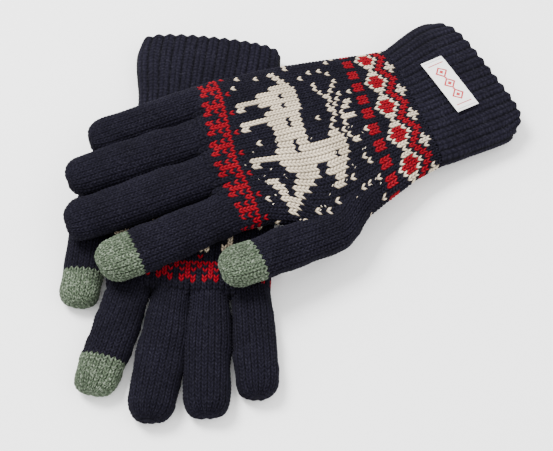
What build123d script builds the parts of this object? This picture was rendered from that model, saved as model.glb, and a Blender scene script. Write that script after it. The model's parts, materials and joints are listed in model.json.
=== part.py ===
from build123d import *
import math
import os

# A pair of knitted gloves lying one across the other, millimetres.
# Each glove is drawn in its own frame: the wrist's middle at the origin, the
# fingers towards +Y, the thumb at -X, the back of the hand up. The left glove
# is drawn the same way and mirrored. Then each glove is set down on the table.

# ---- driving sizes of one glove, before it stretches or relaxes ----
WALL = 2.2            # knit thickness
GAP = 0.4             # running gap between pieces that move against each other
HAND_LONG = 119.0     # wrist to finger roots
PALM_WIDE = 95.0
WRIST_WIDE = 82.0
CUFF_LONG = 50.0
CUFF_WIDE = 86.0
HAND_THICK = 16.6     # a glove lying empty but not pressed flat
CUFF_THICK = 14.6
FINGER_THICK = 15.6
THUMB_THICK = 15.0
TOUCH_LONG = 20.0     # length of the touchscreen tip
RIBS = 22             # ribs round the cuff
RIB_DEEP = 0.45
LABEL_LONG = 40.0     # round the cuff
LABEL_TALL = 15.0     # along the cuff
LABEL_THICK = 0.6
SOLE_CUT = 0.8        # how far the lower glove is pressed flat underneath
FINGER_LONG = {"thumb": 65.0, "index": 75.0, "middle": 82.0, "ring": 78.0, "little": 64.0}

# ---- how each glove of the pair lies ----
# wide, long: how far this glove has stretched (1 = as knitted)
# height: of the wrist's middle; tilt: how far the hand climbs over the other glove
# droop: how far its fingers hang back down; cuff_turn: how far the cuff is skewed
# fingers: root across, root along, turn from the hand's own line (outwards on
# the little finger's side is plus), width at the root, width at the middle
GLOVES = {
    "right": dict(
        wide=1.05, long=1.05, turn=110.0, at=(80.6, 79.0), height=13.0, tilt=5.9, droop=7.0, cuff_turn=10.0,
        fingers={"index": (-38.4, 125.5, -5.5, 25.0, 26.0), "middle": (-12.2, 127.5, -1.0, 25.0, 25.6),
                 "ring": (13.3, 123.5, -1.0, 24.4, 24.8), "little": (36.5, 119.5, -1.0, 20.8, 21.0)},
        thumb=(-66.5, 76.0, -7.0, 22.6, 24.2)),
    "left": dict(
        wide=0.95, long=0.97, turn=178.0, at=(-43.0, 77.0), height=HAND_THICK / 2 - SOLE_CUT, tilt=0.0, droop=0.0,
        cuff_turn=5.0,
        fingers={"index": (-32.0, 108.6, -13.0, 22.0, 25.0), "middle": (-9.8, 114.4, -5.0, 20.6, 25.4),
                 "ring": (11.8, 115.0, 1.0, 20.6, 24.8), "little": (32.8, 113.4, 6.5, 20.0, 22.6)},
        thumb=(-58.4, 63.0, -3.0, 21.4, 22.4)),
}
ORDER = ("index", "middle", "ring", "little")


def oval(wide, thick, y, cx=0.0, turn=0.0, squareness=2.7, ribs=0, deep=0.0, per_rib=4):
    """A flattened round section across the glove, as a face facing along +Y."""
    count = ribs * per_rib if ribs else 28
    points = []
    for i in range(count):
        a = 2 * math.pi * (i + 0.5) / count
        c, s = math.cos(a), math.sin(a)
        x = 0.5 * wide * math.copysign(abs(c) ** (2 / squareness), c)
        z = 0.5 * thick * math.copysign(abs(s) ** (2 / squareness), s)
        points.append((x, z))
    if ribs:
        # even spacing round the outline, then a ripple pushed out along it
        long = [0.0]
        for i in range(count):
            p, q = points[i], points[(i + 1) % count]
            long.append(long[-1] + math.hypot(q[0] - p[0], q[1] - p[1]))
        even = []
        for i in range(count):
            want = long[-1] * i / count
            k = max(j for j in range(count) if long[j] <= want)
            f = (want - long[k]) / (long[k + 1] - long[k])
            p, q = points[k], points[(k + 1) % count]
            even.append((p[0] + f * (q[0] - p[0]), p[1] + f * (q[1] - p[1])))
        points = []
        for i in range(count):
            p, q = even[i - 1], even[(i + 1) % count]
            tx, tz = q[0] - p[0], q[1] - p[1]
            n = math.hypot(tx, tz)
            out = deep * math.cos(2 * math.pi * i / per_rib)
            points.append((even[i][0] + tz / n * out, even[i][1] - tx / n * out))
    plane = Plane(origin=(cx, y, 0), x_dir=(math.cos(math.radians(turn)), math.sin(math.radians(turn)), 0),
                  z_dir=(math.sin(math.radians(turn)), -math.cos(math.radians(turn)), 0))
    return Face(Wire([Edge.make_spline([plane.from_local_coords((x, z, 0)) for x, z in points], periodic=True)]))


def tube(sections, grow=0.0, squareness=2.7):
    """Loft through (wide, thick, y, cx, turn); grow < 0 gives the hollow inside."""
    faces = []
    for wide, thick, y, cx, turn in sections:
        faces.append(oval(wide + 2 * grow, thick + 2 * grow, y, cx, turn, squareness))
    return Solid(Solid.make_loft([f.outer_wire() for f in faces]).wrapped)


def finger_shell(long, root, middle, thick):
    """A rounded hollow finger along +Y, open at its root y = 0, flatter than wide.

    One turned wall, then flattened, so the wall is thinner above and below
    than it is at the sides, as flattened knit is.
    """
    side = 1.2 * WALL
    a, b = root / 2, 0.975 * middle / 2

    def rim(a, b, end):
        return Spline((a, 0), (a + 0.45 * (b - a), 0.2 * long), (b, 0.5 * long), (0.93 * b, 0.8 * long), (0, end),
                      tangents=((0.4 * (b - a) / (0.2 * long), 1), (-1, 0)))

    wall = make_face(rim(a, b, long) + Line((0, long), (0, long - side)) + rim(a - side, b - side, long - side)
                     + Line((a - side, 0), (a, 0)))
    return scale(revolve(wall, Axis.Y), by=(1, 1, thick / middle))


def block(x0, x1, y0, y1, z0=-60.0, z1=60.0):
    return Pos((x0 + x1) / 2, (y0 + y1) / 2, (z0 + z1) / 2) * Box(x1 - x0, y1 - y0, z1 - z0)


def root_frame(across, along, turn, gap=0.0):
    """Where a finger's root sits in the glove's frame; plus turn leans to +X."""
    return Pos(across, along, 0) * Rot(0, 0, -turn) * Pos(0, gap, 0)


def hand_piece(g):
    wide, long = g["wide"], g["long"]
    palm, wrist, tall = PALM_WIDE * wide, WRIST_WIDE * wide, HAND_LONG * long
    t = HAND_THICK
    rows = [(wrist, CUFF_THICK + 0.6, -10.0, 0.0, 0.0), (0.5 * (palm + wrist) + 2, t, 0.34 * tall, -0.8, 0.0),
            (palm, t, 0.72 * tall, -1.4, 0.0), (palm - 2.0, t - 0.4, tall + 6.0, -1.4, 0.0)]
    tx, ty, turn, root, _ = g["thumb"]
    lobe = [(0.52 * wrist, CUFF_THICK, -8.0, -0.23 * wrist, 0.0), (32.0, t - 0.8, 0.52 * ty, 0.66 * tx, 0.5 * -turn),
            (root, THUMB_THICK, ty, tx, -turn)]
    outer = tube(rows) + tube(lobe)
    # the hollow runs on past both ends
    def longer(rows, by):
        (w0, t0, y0, x0, a0), (w1, t1, y1, x1, a1) = rows[0], rows[-1]
        return [(w0, t0, y0 - by, x0, a0)] + rows[1:-1] + [(w1, t1, y1 + by, x1, a1)]
    inner = tube(longer(rows, 1.5), -WALL) + tube([(*lobe[0][:2], -11.0, *lobe[0][3:])] + lobe[1:-1] + [(root, THUMB_THICK, ty + 1.0, tx, -turn)], -WALL)
    hand = outer - inner
    # the finger end is cut square to each finger at its own root
    line = []
    for name in ORDER:
        x, y, turn, w, _ = g["fingers"][name]
        c, s = math.cos(math.radians(turn)), math.sin(math.radians(turn))
        line += [(x - w / 2 * c, y + w / 2 * s), (x + w / 2 * c, y - w / 2 * s)]
    line = [(-120, line[0][1])] + line + [(120, line[-1][1]), (120, 220), (-120, 220)]
    far = extrude(Pos(0, 0, -40) * make_face(Polyline(*line, close=True)), 80)
    hand = hand - far - Rot(0, 0, g["cuff_turn"]) * block(-120, 120, -60, 0)
    return hand.solids().sort_by(SortBy.VOLUME)[-1]


def finger_pieces(g, name):
    long = FINGER_LONG[name] * g["long"]
    x, y, turn, root, middle = g["thumb"] if name == "thumb" else g["fingers"][name]
    shell = finger_shell(long, root, middle, THUMB_THICK if name == "thumb" else FINGER_THICK)
    place = root_frame(x, y, turn, GAP)
    if name not in ("thumb", "index"):
        return {name: place * shell}
    cut = long - TOUCH_LONG
    return {name: place * (shell - block(-40, 40, cut, long + 9)),
            name + "_touch_tip": place * (shell & block(-40, 40, cut, long + 9))}


def cuff_piece(g):
    """A straight ribbed tube, open at both ends."""
    wide = CUFF_WIDE * g["wide"]
    start = -GAP if g is GLOVES["right"] else 0.0
    skin = extrude(oval(wide, CUFF_THICK, start, ribs=RIBS, deep=RIB_DEEP), CUFF_LONG + start, dir=(0, -1, 0))
    hole = extrude(oval(wide - 2 * WALL, CUFF_THICK - 2 * WALL, 2.0), CUFF_LONG + 6, dir=(0, -1, 0))
    return Rot(0, 0, g["cuff_turn"]) * (skin - hole)


def label_pieces(g):
    w = CUFF_WIDE * g["wide"]
    mid = -0.5 * CUFF_LONG
    rows = [(w, CUFF_THICK, mid - 12, 0, 0), (w, CUFF_THICK, mid + 12, 0, 0)]
    a, b = RIB_DEEP + 0.15, RIB_DEEP + 0.15 + LABEL_THICK
    window = block(-LABEL_LONG / 2, LABEL_LONG / 2, mid - LABEL_TALL / 2, mid + LABEL_TALL / 2, 0, 30)
    label = (tube(rows, b) - tube([(w, CUFF_THICK, mid - 13, 0, 0), (w, CUFF_THICK, mid + 13, 0, 0)], a)) & window
    out = {"label": label}
    for name, x in (("label_seam_thumb_side", -LABEL_LONG / 2 + 1.6), ("label_seam_little_side", LABEL_LONG / 2 - 1.6)):
        thin = block(x - 0.4, x + 0.4, mid - LABEL_TALL / 2 + 1.2, mid + LABEL_TALL / 2 - 1.2, 0, 30)
        out[name] = (tube(rows, b + 0.45) - tube([(w, CUFF_THICK, mid - 13, 0, 0), (w, CUFF_THICK, mid + 13, 0, 0)], b)) & thin
    return out


def droop_frame(g, name):
    """Fingers of the upper glove hang a little, turning about their root's bottom edge."""
    if not g["droop"] or name not in ORDER:
        return Pos(0, 0, 0)
    x, y, turn, _, _ = g["fingers"][name]
    f = root_frame(x, y, turn, GAP) * Pos(0, 0, -FINGER_THICK / 2)
    return f * Rot(-g["droop"], 0, 0) * f.inverse()


def table_frame(side):
    """Sets a glove, thumb at -X and back up, on the table."""
    g = GLOVES[side]
    return Pos(g["at"][0], g["at"][1], g["height"]) * Rot(0, 0, g["turn"]) * Rot(g["tilt"], 0, 0)


def glove(side):
    g = GLOVES[side]
    made = {"cuff": cuff_piece(g), "hand": hand_piece(g)}
    for name in ("thumb",) + ORDER:
        for key, solid in finger_pieces(g, name).items():
            made[key] = droop_frame(g, name) * solid
    if side == "right":
        made.update({n: Rot(0, 0, g["cuff_turn"]) * p for n, p in label_pieces(g).items()})
    out = {}
    floor = block(-200, 200, -200, 300, -60, -HAND_THICK / 2 + SOLE_CUT)
    for key, solid in made.items():
        if side == "left":
            solid = Pos(0, 0, LOWER.get(key.split("_")[0], 0.0)) * solid
            solid = mirror(solid - floor, about=Plane.YZ)
        solid = table_frame(side) * solid
        parts = solid.solids() if hasattr(solid, "solids") else [solid]
        out[side + "_" + key] = max(parts, key=lambda s: s.volume)
    return out


# thinner pieces of the lower glove sink to the table with the hand
LOWER = {"cuff": -(HAND_THICK - CUFF_THICK) / 2 + 0.2, "thumb": -(HAND_THICK - THUMB_THICK) / 2 + 0.2}
LOWER.update({name: -(HAND_THICK - FINGER_THICK) / 2 + 0.1 for name in ORDER})


def build():
    pieces = {}
    for side in ("left", "right"):
        pieces.update(glove(side))
    box = [p.bounding_box() for p in pieces.values()]
    cx = 0.5 * (min(b.min.X for b in box) + max(b.max.X for b in box))
    cy = 0.5 * (min(b.min.Y for b in box) + max(b.max.Y for b in box))
    shift = Pos(-cx, -cy, 0)
    return {n: shift * p for n, p in pieces.items()}, (cx, cy)


def main():
    os.makedirs("parts", exist_ok=True)
    pieces, _ = build()
    for name, solid in pieces.items():
        solid.label = name
        export_step(solid, "parts/" + name + ".step")
        b = solid.bounding_box()
        print(name, round(solid.volume, 1), solid.is_valid, [round(v, 1) for v in (*b.min, *b.max)])


if __name__ == "__main__":
    main()
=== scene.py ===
import json
import math

import bpy
import numpy as np
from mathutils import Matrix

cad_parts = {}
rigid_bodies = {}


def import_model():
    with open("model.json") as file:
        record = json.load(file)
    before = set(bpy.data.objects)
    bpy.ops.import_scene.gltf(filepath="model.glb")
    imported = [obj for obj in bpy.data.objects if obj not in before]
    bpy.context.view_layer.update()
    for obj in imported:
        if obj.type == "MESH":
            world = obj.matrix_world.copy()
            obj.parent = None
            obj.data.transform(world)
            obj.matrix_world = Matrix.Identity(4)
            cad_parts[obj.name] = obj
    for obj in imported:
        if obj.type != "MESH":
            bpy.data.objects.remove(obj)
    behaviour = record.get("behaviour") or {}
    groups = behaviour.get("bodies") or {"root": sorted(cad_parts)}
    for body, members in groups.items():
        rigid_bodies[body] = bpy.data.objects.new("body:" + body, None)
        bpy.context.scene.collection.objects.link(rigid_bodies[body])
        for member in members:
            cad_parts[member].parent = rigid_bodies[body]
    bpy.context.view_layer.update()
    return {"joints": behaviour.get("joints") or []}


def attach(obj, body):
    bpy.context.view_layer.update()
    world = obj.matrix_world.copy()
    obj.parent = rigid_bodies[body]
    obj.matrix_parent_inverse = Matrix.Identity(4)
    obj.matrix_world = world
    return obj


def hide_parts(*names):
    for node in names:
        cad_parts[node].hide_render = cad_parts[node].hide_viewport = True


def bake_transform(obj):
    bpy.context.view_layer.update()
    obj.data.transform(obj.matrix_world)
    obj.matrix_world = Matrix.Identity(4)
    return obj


# A pair of knitted gloves. Each glove is drawn in its own frame in millimetres:
# wrist at the origin, fingers towards +Y, thumb at -X, back of the hand up. The
# left one is mirrored, and both are set down on the table to match the frame.

for old in list(bpy.data.objects):
    bpy.data.objects.remove(old)
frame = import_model()
JOINT = {j["name"]: j for j in frame["joints"]}
rng = np.random.default_rng(7)

GLOVES = {
    "right": dict(
        wide=1.05, tall=125.0, turn=110.0, at=(80.6, 79.0), height=13.0, tilt=5.9, droop=7.0, cuff_turn=10.0,
        fingers={"index": (-38.4, 125.5, -5.5, 25.0, 26.0, 78.8), "middle": (-12.2, 127.5, -1.0, 25.0, 25.6, 86.1),
                 "ring": (13.3, 123.5, -1.0, 24.4, 24.8, 81.9), "little": (36.5, 119.5, -1.0, 20.8, 21.0, 67.2)},
        thumb=(-66.5, 76.0, -7.0, 22.6, 24.2, 68.2)),
    "left": dict(
        wide=0.95, tall=115.4, turn=178.0, at=(-43.0, 77.0), height=7.5, tilt=0.0, droop=0.0, cuff_turn=5.0,
        fingers={"index": (-32.0, 108.6, -12.2, 22.0, 24.2, 72.8), "middle": (-9.8, 114.4, -5.0, 20.6, 25.4, 79.5),
                 "ring": (11.8, 115.0, 1.0, 20.6, 24.8, 75.7), "little": (32.8, 113.4, 6.0, 20.0, 22.6, 66.0)},
        thumb=(-57.6, 63.0, -2.0, 21.4, 22.4, 65.5)),
}
HAND_THICK, CUFF_THICK, FINGER_THICK, THUMB_THICK = 16.6, 14.6, 15.6, 15.0
CUFF_LONG, TOUCH_LONG = 50.0, 20.0
WALES, COURSES = 60, 59          # stitches round the hand, rows from cuff to fingers
RIBS, CUFF_ROWS = 27, 23         # ribs round the cuff, rows along it
PER_RIB = 8                      # mesh cells in one rib
BACK_MIDDLE = 14.5               # the wale in the middle of the back
SLANT = 0.085                    # how far a row drops towards the little finger, mm per mm
WRIST_HALF, PALM_HALF = 41.0, 47.5
ROW_HEIGHT = 2.15                # one finger course, mm
PER_WALE, PER_COURSE = 6, 4      # mesh cells in one stitch

# ---- knitting charts: C cream, R red, a dot is the navy ground ----
BAND = [".R.R", ".RRR", "..R.", ".RRR", "R.R.", "RRRR"]
BLOCKS = [".RR"] * 3
DIAMONDS = [
    "..C...",
    ".CRC..",
    "CRRRC.",
    "CRRRCC",
    "CRRRC.",
    ".CRC.R",
    "R.C.RR",
    "RR.RR.",
    ".RRR.C",
    "C.R.CC",
    ".....C",
]
DEER = [
    "R...R...R...R...R...R...R...",
    "............................",
    "...C.....CC.....CC..CC...C..",
    ".........CC.....CC..CC......",
    "......C...C......C...C.....C",
    ".....CC...C..C...C...C......",
    "...CCCC...C......C...C......",
    ".CCCCC....C......C...C......",
    ".CCC......C......C..CCC.....",
    "..CC.....CCC....CCC.CCC...C.",
    "...CCC..CCCCCCCCCCC.CCC.....",
    "....CCC.CCCCCCCCCCCCCCC.....",
    ".....CCCCCCCCCCCCCCCCCCC....",
    ".....CCCCCCCCCCCCCCCCCCC..C.",
    "......CCCCC..CC..CC.C.CC.CC.",
    "......CCCCCCCCCCCCCCCCCCCC..",
    ".......CCCCCCCCCCCCCCCCCC...",
    "..C....CCCCCCCCCCCCCCCCC....",
    ".........CCC......CCCCC....C",
    ".........CCC................",
    ".......C.CCC................",
    ".....C.CCCCC............C...",
    ".....CCCCCCC...C............",
    ".....CCCCCCC................",
    "......CCC.CCC........CC..C..",
    ".......CCCCCCC......C.......",
    "........CCCCC.C.CC.C........",
    ".........CCC...CC.CC.....C..",
    "...C........C....C..C.......",
    "...........C.CCC..C..C..C...",
    "..........C...C.C..C..C....C",
    "..........C...C.CC..........",
    "......C.......C..C..........",
    "...C...............C........",
    "...........C................",
]
SNOW = ((7, 1), (10, 0), (14, 2), (20, 3), (22, 0), (25, 2), (26, 5), (30, 3), (31, 7), (33, 0))   # row, wale by the thumb
NAVY, CREAM, RED, GREEN = (0.0074, 0.0066, 0.0130), (0.78, 0.65, 0.48), (0.25, 0.0015, 0.009), (0.072, 0.100, 0.062)
YARN = {".": NAVY, "C": CREAM, "R": RED}


def hand_chart():
    """Rows from the cuff to the fingers, 60 wales; wale 14.5 is the middle of the back."""
    rows = ["." * WALES]
    rows += [r * (WALES // 4) for r in BAND]
    rows += ["." * WALES]
    for i, r in enumerate(DEER):
        palm = list("." * (WALES - len(r)))
        if i == 0:
            palm = list("R..." * 8)
        elif i > 1:
            for k in range(3):
                j = (i * 11 + k * 13) % 32
                if (i + k) % 4 == 0:
                    palm[j] = "C"
            if i in (3, 10, 18, 24, 28):
                palm[31] = "C"
            if i in (6, 14, 21, 31):
                palm[28] = "C"
        back = list(r)
        for row, wale in SNOW:
            if row == i:
                back[wale] = "C"
        rows.append("".join(back + palm))
    rows += [b * (WALES // 3) for b in BLOCKS]
    rows += ["." * WALES]
    rows += [d * (WALES // 6) for d in DIAMONDS]
    rows += ["." * WALES]
    return rows[::-1]


def ease(t):
    """A smooth step from 0 to 1: three t squared less two t cubed."""
    t = np.clip(t, 0, 1)
    return t * t * (3 - 2 * t)


def oval_table(a, b, squareness, count=720):
    """A flattened round outline by arc length, from the top middle towards +X."""
    t = np.linspace(0, 2 * np.pi, count + 1)
    x = a * np.sign(np.sin(t)) * np.abs(np.sin(t)) ** (2 / squareness)
    z = b * np.sign(np.cos(t)) * np.abs(np.cos(t)) ** (2 / squareness)
    s = np.concatenate([[0], np.cumsum(np.hypot(np.diff(x), np.diff(z)))])
    return s / s[-1], x / a, z / b


FLAT = oval_table(49, 8, 2.7)
ROUND = oval_table(12.5, 7.6, 2.25)


def around(table, s):
    """Across and up on an outline at a share s of the way round, each from -1 to 1."""
    s = np.mod(s, 1.0)
    return np.interp(s, table[0], table[1]), np.interp(s, table[0], table[2])


def lumps(p, size, seed):
    """Soft low waves over a surface: five sines added, about -1 to 1."""
    r = np.random.default_rng(seed)
    out = np.zeros(p.shape[:-1])
    for _ in range(5):
        k = r.normal(size=3) * 2 * np.pi / size
        out += np.sin(p @ k + r.uniform(0, 6.28))
    return out / 3.0


def normals(p):
    """Unit normals of a grid of points, rows along, columns round."""
    along = np.gradient(p, axis=0)
    across = np.roll(p, -1, axis=1) - np.roll(p, 1, axis=1)
    n = np.cross(across, along)
    return n / np.maximum(np.linalg.norm(n, axis=-1, keepdims=True), 1e-9)


def stitch(c, r):
    """Height of stocking stitch, 0 to 1: two legs to a wale, each a grain that ends at its course."""
    legs = np.abs(np.sin(2 * np.pi * c)) ** 0.6
    grain = 0.06 + 0.94 * np.sin(np.pi * ((r + 0.02) % 1)) ** 0.55
    middle = 0.40 * np.abs(np.sin(np.pi * c)) ** 2      # shallower between a wale's own legs
    return np.maximum(legs * grain, middle * grain)


def lean(c):
    """How far a row dips beside the middle of its wale, in courses, so legs meet in a point."""
    return -0.95 * np.abs((c % 1) - 0.5) * 2


# ---- where a glove lies on the table ----
def turned(p, degrees, axis):
    """Points turned about x or z."""
    a = math.radians(degrees)
    c, s = math.cos(a), math.sin(a)
    m = {"x": [[1, 0, 0], [0, c, -s], [0, s, c]], "z": [[c, -s, 0], [s, c, 0], [0, 0, 1]]}[axis]
    return p @ np.array(m).T


def on_table(side, p):
    """A glove's own place, mirrored for the left, tipped, turned and moved on to the table, in mm."""
    g = GLOVES[side]
    q = np.array(p, float)
    if side == "left":
        q = q * (-1, 1, 1)
    q = turned(turned(q, g["tilt"], "x"), g["turn"], "z")
    return q + (*g["at"], g["height"])


wrist = np.array(JOINT["right_wrist"]["pos_m"]) * 1000
SHIFT = wrist - on_table("right", (0, 0, 8.3))


def row_frame(side, p):
    """The same in metres in the shared frame."""
    return (on_table(side, p) + SHIFT) * 0.001


def settle(v):
    """What would lie under the table is pressed flat on it: heights below a limit fade towards zero."""
    limit = 0.0006
    v[:, 2] = np.where(v[:, 2] < limit, limit * np.exp(np.minimum(v[:, 2] - limit, 0) / limit), v[:, 2])
    return v


# ---- mesh building ----
def build(name, side, p, colour, valley_shade, material, loop=False):
    """A tube of rows: quads between rows, joined round, ends closed with a fan.

    p is rows x columns x 3 in the glove's frame. colour is rows-1 x columns x 3
    and the last table, rows x columns, is painted shade: 0 darkest in the valleys, 1 unshaded on the yarn.
    """
    rows, cols = p.shape[:2]
    v = settle(row_frame(side, p.reshape(-1, 3)))
    i, j = np.meshgrid(np.arange(rows - (0 if loop else 1)), np.arange(cols), indexing="ij")
    i, j = i.ravel(), j.ravel()
    i2, j2 = (i + 1) % rows, (j + 1) % cols
    quads = np.stack([i * cols + j, i * cols + j2, i2 * cols + j2, i2 * cols + j], 1)
    u0, u1 = j / cols, (j + 1) / cols
    span = rows if loop else rows - 1
    w0, w1 = 0.03 + 0.94 * i / span, 0.03 + 0.94 * (i + 1) / span
    quad_uv = np.stack([np.stack([u0, w0], 1), np.stack([u1, w0], 1), np.stack([u1, w1], 1), np.stack([u0, w1], 1)], 1)
    face_col = colour.reshape(-1, 3) if not loop else np.concatenate([colour, colour[-1:]]).reshape(-1, 3)
    d = valley_shade.ravel()
    tris, tri_uv, tri_col = [], [], []
    if not loop:
        k = np.arange(cols)
        for end in (0, 1):
            row = 0 if end == 0 else rows - 1
            tip = len(v)
            v = np.concatenate([v, v[row * cols:(row + 1) * cols].mean(0)[None]])
            d = np.append(d, d[row * cols])
            a, b = row * cols + k, row * cols + (k + 1) % cols
            tris.append(np.stack([np.full(cols, tip), b, a] if end == 0 else [np.full(cols, tip), a, b], 1))
            w_in, w_out = (0.0, 0.03) if end == 0 else (1.0, 0.97)
            uv = [np.stack([(k + 0.5) / cols, np.full(cols, w_in)], 1), np.stack([(k + 1) / cols, np.full(cols, w_out)], 1),
                  np.stack([k / cols, np.full(cols, w_out)], 1)]
            tri_uv.append(np.stack(uv if end == 0 else [uv[0], uv[2], uv[1]], 1))
            tri_col.append(colour[0 if end == 0 else -1])
    quads_flat = quads.ravel()
    tri = np.concatenate(tris) if tris else np.zeros((0, 3), int)
    loops = np.concatenate([quads_flat, tri.ravel()])
    sizes = np.concatenate([np.full(len(quads), 4), np.full(len(tri), 3)])
    uv = np.concatenate([quad_uv.reshape(-1, 2)] + ([np.concatenate(tri_uv).reshape(-1, 2)] if tris else []))
    fc = np.concatenate([face_col] + ([np.concatenate(tri_col)] if tris else []))
    # faces outwards: the mirrored glove turns them over
    tetra = np.einsum("ij,ij->i", v[quads[:, 0]], np.cross(v[quads[:, 1]], v[quads[:, 2]])).sum()
    tetra += np.einsum("ij,ij->i", v[quads[:, 0]], np.cross(v[quads[:, 2]], v[quads[:, 3]])).sum()
    starts = np.concatenate([[0], np.cumsum(sizes)[:-1]])
    if tetra < 0:
        order = np.concatenate([(starts[:len(quads), None] + [3, 2, 1, 0]).ravel(),
                                (starts[len(quads):, None] + [2, 1, 0]).ravel()]).astype(int)
        loops, uv = loops[order], uv[order]
    mesh = bpy.data.meshes.new(name)
    mesh.vertices.add(len(v))
    mesh.vertices.foreach_set("co", v.ravel())
    mesh.loops.add(len(loops))
    mesh.loops.foreach_set("vertex_index", loops.astype(np.int32))
    mesh.polygons.add(len(sizes))
    mesh.polygons.foreach_set("loop_start", starts.astype(np.int32))
    mesh.update(calc_edges=True)
    layer = mesh.uv_layers.new(name="OFBake")
    layer.data.foreach_set("uv", uv.ravel())
    corner = np.repeat(fc, sizes, axis=0)
    # painted shade: each corner's colour is darkened in the stitch valleys, between the ribs and on the inner walls,
    # where shade would fall
    valley_shade_level = d[loops][:, None]
    shade = np.concatenate([corner * (0.03 + 0.97 * np.clip(valley_shade_level, 0, 1) ** 1.35), np.ones((len(loops), 1))], 1)
    tint = mesh.color_attributes.new("yarn", "FLOAT_COLOR", "CORNER")
    tint.data.foreach_set("color", shade.ravel())
    mesh.polygons.foreach_set("use_smooth", np.ones(len(sizes), bool))
    mesh.validate()
    mesh.update()
    mesh.materials.append(material)
    ob = bpy.data.objects.new(name, mesh)
    bpy.context.scene.collection.objects.link(ob)
    return ob


def yarn_material(name, fleck, fleck_amount, rough=0.95, sheen=0.25):
    """Wool: the yarn's colour from the corner colours, which carry painted shade in the valleys, with lighter flecks,
    fine fibres as bump.
    """
    m = bpy.data.materials.new(name)
    m.use_nodes = True
    nt = m.node_tree
    nt.nodes.clear()
    out = nt.nodes.new("ShaderNodeOutputMaterial")
    sh = nt.nodes.new("ShaderNodeBsdfPrincipled")
    nt.links.new(sh.outputs["BSDF"], out.inputs["Surface"])
    sh.inputs["Sheen Weight"].default_value = sheen
    sh.inputs["Sheen Roughness"].default_value = 0.6
    sh.inputs["IOR"].default_value = 1.4
    sh.inputs["Specular IOR Level"].default_value = 0.06
    tint = nt.nodes.new("ShaderNodeVertexColor")
    tint.layer_name = "yarn"
    where = nt.nodes.new("ShaderNodeTexCoord")
    fine = nt.nodes.new("ShaderNodeTexNoise")
    fine.inputs["Scale"].default_value = 900
    fine.inputs["Detail"].default_value = 3
    nt.links.new(where.outputs["Object"], fine.inputs["Vector"])
    broad = nt.nodes.new("ShaderNodeTexNoise")
    broad.inputs["Scale"].default_value = 60
    nt.links.new(where.outputs["Object"], broad.inputs["Vector"])
    pick = nt.nodes.new("ShaderNodeMapRange")
    pick.inputs["From Min"].default_value = 0.5
    pick.inputs["From Max"].default_value = 0.72
    pick.inputs["To Max"].default_value = fleck_amount
    nt.links.new(fine.outputs["Fac"], pick.inputs["Value"])
    mix = nt.nodes.new("ShaderNodeMix")
    mix.data_type = "RGBA"
    mix.inputs["B"].default_value = (*fleck, 1)
    nt.links.new(pick.outputs["Result"], mix.inputs["Factor"])
    nt.links.new(tint.outputs["Color"], mix.inputs["A"])
    level = nt.nodes.new("ShaderNodeMapRange")
    level.inputs["From Min"].default_value = 0.3
    level.inputs["From Max"].default_value = 0.7
    level.inputs["To Min"].default_value = 0.82
    level.inputs["To Max"].default_value = 1.18
    nt.links.new(broad.outputs["Fac"], level.inputs["Value"])
    tone = nt.nodes.new("ShaderNodeVectorMath")
    tone.operation = "SCALE"
    nt.links.new(mix.outputs["Result"], tone.inputs[0])
    nt.links.new(level.outputs["Result"], tone.inputs["Scale"])
    nt.links.new(tone.outputs["Vector"], sh.inputs["Base Color"])
    ramp = nt.nodes.new("ShaderNodeMapRange")
    ramp.inputs["To Min"].default_value = rough - 0.12
    ramp.inputs["To Max"].default_value = rough
    nt.links.new(fine.outputs["Fac"], ramp.inputs["Value"])
    nt.links.new(ramp.outputs["Result"], sh.inputs["Roughness"])
    bump = nt.nodes.new("ShaderNodeBump")
    bump.inputs["Strength"].default_value = 0.5
    bump.inputs["Distance"].default_value = 0.0004
    nt.links.new(fine.outputs["Fac"], bump.inputs["Height"])
    nt.links.new(bump.outputs["Normal"], sh.inputs["Normal"])
    return m


WOOL = yarn_material("wool yarn", (0.075, 0.072, 0.10), 0.11, sheen=0.01)
TOUCH = yarn_material("touch yarn", (0.30, 0.35, 0.27), 0.5, sheen=0.04)


def tape_material():
    """Woven tape: fine crossing threads as bump, from the piece's own map."""
    m = bpy.data.materials.new("woven tape")
    m.use_nodes = True
    nt = m.node_tree
    sh = nt.nodes["Principled BSDF"]
    sh.inputs["Roughness"].default_value = 0.7
    sh.inputs["Sheen Weight"].default_value = 0.1
    tint = nt.nodes.new("ShaderNodeVertexColor")
    tint.layer_name = "yarn"
    own = nt.nodes.new("ShaderNodeUVMap")
    own.uv_map = "OFBake"
    warp, weft = nt.nodes.new("ShaderNodeTexWave"), nt.nodes.new("ShaderNodeTexWave")
    warp.inputs["Scale"].default_value = 40
    weft.inputs["Scale"].default_value = 14
    weft.bands_direction = "Y"
    cross = nt.nodes.new("ShaderNodeMath")
    cross.operation = "MULTIPLY"
    for wave, slot in ((warp, 0), (weft, 1)):
        nt.links.new(own.outputs["UV"], wave.inputs["Vector"])
        nt.links.new(wave.outputs["Fac"], cross.inputs[slot])
    level = nt.nodes.new("ShaderNodeMapRange")
    level.inputs["To Min"].default_value = 0.93
    nt.links.new(cross.outputs["Value"], level.inputs["Value"])
    tone = nt.nodes.new("ShaderNodeVectorMath")
    tone.operation = "SCALE"
    nt.links.new(tint.outputs["Color"], tone.inputs[0])
    nt.links.new(level.outputs["Result"], tone.inputs["Scale"])
    nt.links.new(tone.outputs["Vector"], sh.inputs["Base Color"])
    bump = nt.nodes.new("ShaderNodeBump")
    bump.inputs["Strength"].default_value = 0.4
    bump.inputs["Distance"].default_value = 0.0002
    nt.links.new(cross.outputs["Value"], bump.inputs["Height"])
    nt.links.new(bump.outputs["Normal"], sh.inputs["Normal"])
    return m


TAPE = tape_material()


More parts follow.
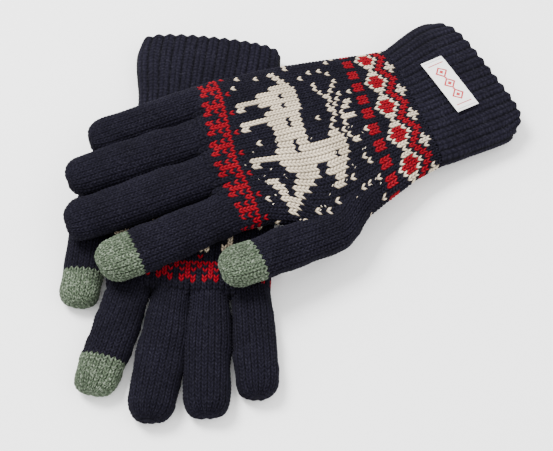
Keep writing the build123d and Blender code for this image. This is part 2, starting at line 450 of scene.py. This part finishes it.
# ---- the hand ----
def hand_grid(g):
    """Outer skin of palm and back, row 0 at the cuff, the last rows closing between the fingers."""
    tall, wide = g["tall"], g["wide"]
    extra = 5
    r = np.concatenate([np.arange(COURSES * PER_COURSE + 1) / PER_COURSE,
                        COURSES + np.arange(1, extra + 1) * 0.5])[:, None]
    c = (np.arange(WALES * PER_WALE) / PER_WALE)[None, :]
    r, c = np.broadcast_arrays(r, c)
    rr = np.clip(r + lean(c), -0.9, None)
    s = (c - BACK_MIDDLE) / WALES
    ux, uz = around(FLAT, s)
    y = rr / COURSES * (tall + 1.2)
    wrist_half, palm_half = WRIST_HALF * wide, PALM_HALF * wide
    half = wrist_half + (palm_half - wrist_half) * ease(y / (0.7 * tall))
    tx, ty = g["thumb"][0], g["thumb"][1]
    bulge = np.interp(y / ty, [0, 0.2, 0.45, 0.8, 0.92, 1.04, 1.2, 1.38], [0, 0.16, 0.5, 1.0, 1.0, 0.82, 0.3, 0])
    left = half + bulge * (abs(tx) + 1 - half) * (ux < 0)
    x = -1.2 * ease(y / tall) + ux * np.where(ux < 0, left, half)
    y = y - SLANT * x * np.clip(r / 16, 0, 1)
    # finger end: the back and palm dip between the fingers, then close
    over = 0.0
    for f in g["fingers"].values():
        e = np.sqrt(np.clip(1 - ((x - f[0]) / (f[3] / 2 + 0.9)) ** 2, 0, 1))
        over = np.maximum(over, e)
    k = ease((r - (COURSES - 4.5)) / 5.5)
    shape = 1 - k + k * (0.35 + 0.65 * over ** 0.85)
    thick = CUFF_THICK / 2 + 0.3 + (HAND_THICK / 2 - CUFF_THICK / 2 - 0.3) * ease(y / (0.3 * tall))
    z = uz * thick * shape
    close = np.clip((r - COURSES) / 2.5, 0, 1)
    z = z * np.sqrt(np.clip(1 - close ** 2, 0.0004, 1))
    # the root line of the fingers
    line = np.interp(x, [f[0] for f in g["fingers"].values()], [f[1] for f in g["fingers"].values()])
    fit = ease((r - 30) / (COURSES - 30))
    own = tall + 1.2 - SLANT * x
    y = y + fit * (line - own + 3.4)
    p = np.stack([x, y, z], -1)
    return p, c, r


def hand(side):
    """The hand's skin pushed out by its stitches, coloured by the charts, with an inner wall back from the wrist."""
    g = GLOVES[side]
    p, c, r = hand_grid(g)
    n = normals(p)
    n *= np.sign(np.sum(n * (p * (0, 0, 1)), axis=(0, 1)).sum() or 1)
    size = 0.9 + 0.1 * rng.random((COURSES + 4, WALES))
    d = stitch(c, r)
    ri, ci = np.clip(r.astype(int), 0, COURSES + 3), c.astype(int) % WALES
    amount = 1.05 * size[ri, ci]
    fade = 1 - 0.8 * np.clip((r - COURSES) / 2, 0, 1)
    q = p + n * (d * amount * fade)[..., None]
    slack = 0.35 if side == "right" else 0.35 * 0.6
    q[..., 2] += slack * lumps(p, 46, 3) * np.sign(p[..., 2]) * ease(np.abs(p[..., 2]) / 5)
    chart = hand_chart()
    codes = np.array([[YARN[ch] for ch in row] for row in chart] + [[NAVY] * WALES] * 6)
    face_r = np.clip(((r[:-1] + r[1:]) / 2).astype(int), 0, COURSES + 5)
    face_c = ((c[:-1] + 0.5 / PER_WALE).astype(int)) % WALES
    col = codes[face_r, face_c].copy()
    # strands carried behind the figures show here and there in the gaps
    gap = ((c[:-1] * 2) % 1 < 0.2) & (face_r > 16) & (face_r < COURSES - 8)
    gap &= (face_c < 14) & (rng.random(face_r.shape) < 0.018)
    col[gap & (col[..., 0] < 0.05)] = (1.3, 1.15, 0.9)
    # inner wall, coarse: in at the wrist and closed at the far end
    step = np.linspace(0, COURSES * PER_COURSE * 0.93, 24).astype(int)
    centre = p[step].mean(1, keepdims=True)
    inside = (p[step] - centre) * (0.955, 1, 0.70) + centre
    rim = 0.5 * (q[0] + inside[0])
    grid = np.concatenate([inside[::-1], rim[None], q])
    colour = np.concatenate([np.broadcast_to(NAVY, (len(step) + 1, c.shape[1], 3)), col])
    # painted shade: the stitch valleys are darkened, and the inner wall is held at half so it is darker inside the
    # glove
    valley_shade = np.concatenate([np.full((len(step) + 1, c.shape[1]), 0.5), np.clip(0.06 + 0.94 * d, 0, 1)])
    ob = build(f"{side}_hand_knit", side, grid, colour, valley_shade, WOOL)
    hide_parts(f"{side}_hand")
    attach(ob, f"{side}_glove")


# ---- cuff ----
def cuff_path(g, d):
    """Middle line of the cuff by distance from the wrist, turning a little to one side as it leaves."""
    t = np.linspace(-4, CUFF_LONG + 4, 200)
    a = math.radians(g["cuff_turn"]) * ease((t + 2) / 14)
    step = t[1] - t[0]
    x, y = np.cumsum(np.sin(a)) * step, -np.cumsum(np.cos(a)) * step
    x, y = x - np.interp(0, t, x), y - np.interp(0, t, y)
    return np.interp(d, t, x), np.interp(d, t, y), np.interp(d, t, a)


def cuff(side):
    """A flat round outline carried along the cuff's line, with cosine ribs and stitches, turned in at the rim."""
    g = GLOVES[side]
    cols, rows = RIBS * PER_RIB, CUFF_ROWS
    r = np.arange(rows * PER_COURSE + 1)[:, None] / PER_COURSE
    c = (np.arange(cols) / PER_RIB)[None, :]
    r, c = np.broadcast_arrays(r, c)
    d = (r + 0.5 * lean(c) + 0.45) / rows * CUFF_LONG
    s = (c - 0.5) / RIBS
    ux, uz = around(FLAT, s)
    px, py, ang = cuff_path(g, d)
    far = ease((d - 32) / 18)
    fuller = ease(d / 40)
    # the rim rounds off at both corners, and the cuff stands a little wider than the wrist
    half = (WRIST_HALF + 2.4 * fuller) * g["wide"] + 4.6 * fuller * np.clip(ux if side == "right" else -ux, 0, 1)
    round_off = 1.0 if side == "right" else 0.3
    x = ux * half * (1 - 0.075 * round_off * far ** 3 * np.abs(ux) ** 4)
    thick = CUFF_THICK / 2 + 0.35 + 1.1 * fuller
    z = uz * thick * (1 + 0.05 * np.sin(3.1 * ux + (0 if side == "right" else 2)) * ease(d / 30)) + 1.0 * fuller
    wx = px + x * np.cos(ang)
    wy = py + x * np.sin(ang)
    wy = wy + 6.5 * round_off * far ** 2 * np.abs(ux) ** 7 - (3.0 if side == "right" else 1.0) * far
    p = np.stack([wx, wy, z], -1)
    if side == "left":
        p[..., 2] -= 0.8
    n = normals(p)
    n = -n if np.sum(n[..., 2] * np.sign(uz)) < 0 else n
    rib = 0.5 + 0.5 * np.cos(2 * np.pi * (c - 0.5))
    legs = np.abs(np.sin(2 * np.pi * c)) ** 0.6
    pinch = 0.3 + 0.7 * np.sin(np.pi * ((r + 0.02) % 1)) ** 0.7
    grow = 0.28 + 0.22 * ease(d / 20) + 0.35 * ease((d - 40) / 9)
    h = rib ** 0.8 * 0.6 * grow + 0.55 * legs * pinch
    q = p + n * h[..., None]
    q[-6:, :, 1] -= (0.4 * (rib[-6:] - 0.5)) * np.cos(math.radians(g["cuff_turn"])) * np.linspace(0, 1, 6)[:, None]
    # rolled rim, then the inner wall back up to the wrist
    last = p[-1]
    away = np.stack([np.sin(ang[-1]), -np.cos(ang[-1]), np.zeros(cols)], -1)
    proud, swell = h[-1][:, None], 0.4 * (rib[-1] - 0.5)[:, None]
    roll = [last + n[-1] * (1.1 * math.cos(w) - 1.1 + proud * (0.5 + 0.5 * math.cos(w)))
            + away * (1.1 * math.sin(w) + swell * (0.5 + 0.5 * math.cos(w)))
            for w in np.linspace(0, np.pi, 7)[1:]]
    step = np.linspace(rows * PER_COURSE, 0, 16).astype(int)[1:]
    inside = p[step] - n[step] * (2.2 - 0.5 * rib[step])[..., None]
    grid = np.concatenate([q, np.array(roll), inside])
    k = len(grid) - len(q)
    # painted shade: darker between the ribs and between the stitch legs, with the rim and the inner wall held darker
    valley_shade = np.concatenate([np.clip(0.16 + 0.22 * rib + 0.65 * legs * pinch, 0, 1), np.full((k, cols), 0.55)])
    colour = np.broadcast_to(NAVY, (len(grid) - 1, cols, 3))
    ob = build(f"{side}_cuff_rib", side, grid, colour, valley_shade, WOOL, loop=True)
    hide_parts(f"{side}_cuff")
    if side == "right":
        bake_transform(ob)
    else:
        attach(ob, "left_glove")


# ---- fingers and thumb ----
def finger_path(g, name):
    """A finger's root, the ways along and across it, its half widths at root and middle, and its length."""
    x, y, turn, root, mid, long = g["thumb"] if name == "thumb" else g["fingers"][name]
    a = math.radians(-turn)
    along = np.array([-math.sin(a), math.cos(a), 0.0])
    side = np.array([math.cos(a), math.sin(a), 0.0])
    return np.array([x, y, 0.0]), along, side, root / 2, mid / 2, long


def finger(side, name):
    """A round outline carried along the finger, its width a swelling line that closes in a quarter round tip."""
    g = GLOVES[side]
    at, along, across, root, mid, long = finger_path(g, name)
    thumb = name == "thumb"
    thick = (THUMB_THICK if thumb else FINGER_THICK) / 2
    back = 34.0 if thumb else 7.0
    wales = {"thumb": 18, "index": 20, "middle": 20, "ring": 19, "little": 17}[name]
    # side outline: root, swell, rounded tip; t runs 0 to 1 by length along the skin
    e = np.linspace(0, 1, 700)
    body = long - mid * 0.92
    straight = e * (body + back) - back
    w = root + (mid - root) * ease(straight / (0.45 * long)) - 0.05 * mid * ease((straight - 0.55 * long) / (0.45 * long))
    q = np.linspace(0, np.pi / 2, 260)[1:]
    tip_y = body + (long - body) * np.sin(q) ** 0.96
    tip_w = w[-1] * np.maximum(np.cos(q), 0) ** 0.82
    yy, ww = np.concatenate([straight, tip_y]), np.concatenate([w, tip_w])
    skin = np.concatenate([[0], np.cumsum(np.hypot(np.diff(yy), np.diff(ww)))])
    rows = int(round(skin[-1] / ROW_HEIGHT))
    r = np.arange(rows * PER_COURSE + 1)[:, None] / PER_COURSE
    c = (np.arange(wales * PER_WALE) / PER_WALE)[None, :]
    r, c = np.broadcast_arrays(r, c)
    far = r / rows
    ends = np.clip((1 - far) * 12, 0, 1) * np.clip(far * 12, 0, 1)      # no lean at the two ends
    dist = np.clip((r + lean(c) * ends) / rows, 0.0, 0.9985) * skin[-1]
    y = np.interp(dist, skin, yy)
    w = np.interp(dist, skin, ww)
    s = (c + 0.25) / wales
    ux, uz = around(ROUND, s)
    t = thick * np.clip(w / (0.93 * mid), 0, 1) ** 0.9
    seed = sum(map(ord, name + side))
    sway = 0.9 * np.sin(y / long * 2.4 + seed)
    z = uz * t
    # a thumb grows out of the side of the hand, so its hidden part leads back into it
    if thumb:
        lead = ease(-y / back)
        tx = 17.0 * lead
        z = z * (1 - 0.12 * lead)
    else:
        tx = 0.0
        z = z * (1 - 0.34 * ease((2.5 - y) / 7))
        w = w * (1 - 0.10 * ease(-y / 6))
    p = at + y[..., None] * along + (ux * w + sway + tx)[..., None] * across + z[..., None] * np.array([0, 0, 1.0])
    # slack knit: shallow dents along the finger and gathers at the closed tip
    soft = lumps(p, 30, seed) * 0.55 + lumps(p, 13, seed + 1) * 0.22
    end = np.clip((y - body) / (long - body), 0, 1)
    gather = 0.55 * np.sin(2 * np.pi * (s * 7 + 0.2)) * end ** 2 * (1 - end ** 8)
    n = normals(p)
    n = -n if np.sum(n[..., 2] * np.sign(uz)) < 0 else n
    d = stitch(c, r)
    near = np.clip(w / 4.0, 0.05, 1)
    p = p + n * ((d * 0.8 + soft + gather) * near)[..., None]
    if side == "left":
        p[..., 2] += -0.7 if thumb else -0.5
    if side == "right" and not thumb:
        foot = at + np.array([0, 0, -thick])
        q = p - foot
        bend = np.radians(g["droop"]) * ease((np.sum(q * along, -1) + 6) / 14)
        along_d, up = np.sum(q * along, -1), q[..., 2]
        side_d = np.sum(q * across, -1)
        a2 = along_d * np.cos(bend) + up * np.sin(bend)
        u2 = -along_d * np.sin(bend) + up * np.cos(bend)
        p = foot + a2[..., None] * along + side_d[..., None] * across + u2[..., None] * np.array([0, 0, 1.0])
    # painted shade: darker in the stitch valleys between the yarn legs
    valley_shade = np.clip(0.10 + 0.90 * d, 0, 1)
    body_name = f"{side}_{name}_finger"

    def piece(label, lo, hi, colour, material, node, bends):
        part = p[lo:hi + 1]
        ob = build(label, side, part, np.broadcast_to(colour, (len(part) - 1, part.shape[1], 3)), valley_shade[lo:hi + 1], material)
        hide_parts(node)
        if bends:
            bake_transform(ob)
        else:
            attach(ob, body_name)
        return ob

    last = rows * PER_COURSE
    if name in ("thumb", "index"):
        cut = int(round(np.interp(long - TOUCH_LONG, yy, skin) / skin[-1] * rows)) * PER_COURSE
        piece(f"{side}_{name}_knit", 0, cut, NAVY, WOOL, f"{side}_{name}", True)
        piece(f"{side}_{name}_touch_tip_knit", cut, last, GREEN, TOUCH, f"{side}_{name}_touch_tip", False)
    else:
        piece(f"{side}_{name}_knit", 0, last, NAVY, WOOL, f"{side}_{name}", True)


for side in ("left", "right"):
    hand(side)
    cuff(side)
    for name in ("thumb", "index", "middle", "ring", "little"):
        finger(side, name)

# ---- the woven label on the right cuff ----
LABEL_LONG, LABEL_TALL, LABEL_THICK = 40.0, 15.0, 0.5


def on_label(u, v, lift):
    """A place on the back of the right cuff: u round it, v along it from its middle, lift above the ribs."""
    g = GLOVES["right"]
    half, thick = 43.4 * g["wide"], CUFF_THICK / 2 + 2.45
    z = thick * (1 - np.abs(u / half) ** 2.7) ** (1 / 2.7) + 0.75 + lift
    z = z + 0.12 * np.sin(u * 2 * np.pi / 7.2) + 0.10 * np.cos(v * 0.35 + u * 0.1)
    px, py, ang = cuff_path(g, CUFF_LONG / 2 - v)
    return np.stack([px + u * np.cos(ang), py + u * np.sin(ang), z], -1)


def label():
    """A strip of tape: columns go across the top and back underneath, rows along the cuff."""
    n, rows = 200, 76
    u = np.concatenate([np.linspace(-1, 1, n), np.linspace(1, -1, 40)[1:-1]]) * LABEL_LONG / 2
    top = np.concatenate([np.ones(n), np.zeros(38)])
    v = np.linspace(-1, 1, rows) * LABEL_TALL / 2
    uu, vv = np.meshgrid(u, v)
    tt = np.broadcast_to(top, uu.shape)
    edge = np.minimum(LABEL_LONG / 2 - np.abs(uu), LABEL_TALL / 2 - np.abs(vv))
    pressed = 0.16 * np.exp(-((LABEL_LONG / 2 - 1.6 - np.abs(uu)) / 0.7) ** 2)
    lift = tt * LABEL_THICK * np.clip(edge / 0.35, 0.35, 1) ** 0.5 - pressed * tt
    p = on_label(uu, vv, lift)
    um, vm = (uu[:-1] + np.roll(uu, -1, 1)[:-1]) / 2, (vv[:-1] + vv[1:]) / 2
    # a woven figure of open lozenges between two fine lines, and a small one at one end
    red = np.zeros(um.shape, bool)
    for k, size in ((-9.0, 4.2), (0.0, 4.2), (9.0, 4.2)):
        far = np.abs(um - k) + np.abs(vm)
        red |= ((far < size) & (far > size - 1.4)) | (far < 1.5)
    red |= ((np.abs(um + 4.5) + np.abs(vm)) < 0.9) | ((np.abs(um - 4.5) + np.abs(vm)) < 0.9)
    red |= (np.abs(np.abs(um) - 15.4) < 0.28) & (np.abs(vm) < 5.2)
    colour = np.where((red & (tt[:-1] > 0))[..., None], np.array((0.42, 0.004, 0.014)), np.array((0.88, 0.87, 0.85)))
    ob = build("right_cuff_woven_label", "right", p, colour, np.ones(p.shape[:2]), TAPE)
    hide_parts("right_label")
    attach(ob, "right_cuff_body")


def label_seam(where, u):
    """A sewing thread that dips in and out of the tape: a thin round profile along a wavy line."""
    t = np.linspace(-1, 1, 121)[:, None]
    a = np.linspace(0, 2 * np.pi, 9)[:-1][None, :]
    lift = LABEL_THICK + 0.05 + 0.20 * np.cos(t * np.pi * 13)
    r = 0.20 * np.sqrt(np.clip(1 - np.abs(t) ** 24, 0.02, 1))
    p = on_label(u + r * np.cos(a) + 0.12 * np.sin(t * np.pi * 13), t * (LABEL_TALL / 2 - 0.9) + 0 * a, lift + r * np.sin(a))
    ob = build(f"right_label_seam_{where}_thread", "right", p, np.full((120, 8, 3), 0.72), np.ones((121, 8)), TAPE)
    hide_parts(f"right_label_seam_{where}")
    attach(ob, "right_cuff_body")


label()
label_seam("thumb_side", -LABEL_LONG / 2 + 1.6)
label_seam("little_side", LABEL_LONG / 2 - 1.6)

# ---- floor, light and camera ----
def plain(name, colour, rough):
    m = bpy.data.materials.new(name)
    m.use_nodes = True
    sh = m.node_tree.nodes["Principled BSDF"]
    sh.inputs["Base Color"].default_value = (*colour, 1)
    sh.inputs["Roughness"].default_value = rough
    return m


bpy.ops.mesh.primitive_plane_add(size=6, location=(0, 0, -0.0006))
floor = bpy.context.object
floor.name = "floor"
floor.data.materials.append(plain("pale floor", (0.99, 0.99, 0.99), 0.9))


def area(name, place, size, power):
    light = bpy.data.lights.new(name, "AREA")
    light.shape = "SQUARE"
    light.size = size
    light.energy = power
    ob = bpy.data.objects.new(name, light)
    bpy.context.scene.collection.objects.link(ob)
    ob.location = place
    ob.rotation_euler = (-ob.location).to_track_quat("-Z", "Y").to_euler()
    return ob


key = area("key light", (-0.7, 0.5, 1.3), 0.6, 44)
fill = area("fill light", (0.9, -0.5, 1.2), 1.2, 10)
world = bpy.data.worlds.new("studio")
bpy.context.scene.world = world
world.use_nodes = True
world.node_tree.nodes["Background"].inputs["Color"].default_value = (1, 1, 1, 1)
world.node_tree.nodes["Background"].inputs["Strength"].default_value = 1.9

cam = bpy.data.cameras.new("camera")
cam.lens = 82.9
cam.sensor_width = 36
eye = bpy.data.objects.new("camera", cam)
bpy.context.scene.collection.objects.link(eye)
aim = (np.array([0.8, 0.0, 10.0]) + SHIFT * (1, 1, 0)) * 0.001
up = math.radians(60)
eye.location = aim + 0.72 * np.array([0, -math.cos(up), math.sin(up)])
eye.rotation_euler = (math.radians(90) - up, 0, 0)
bpy.context.scene.camera = eye
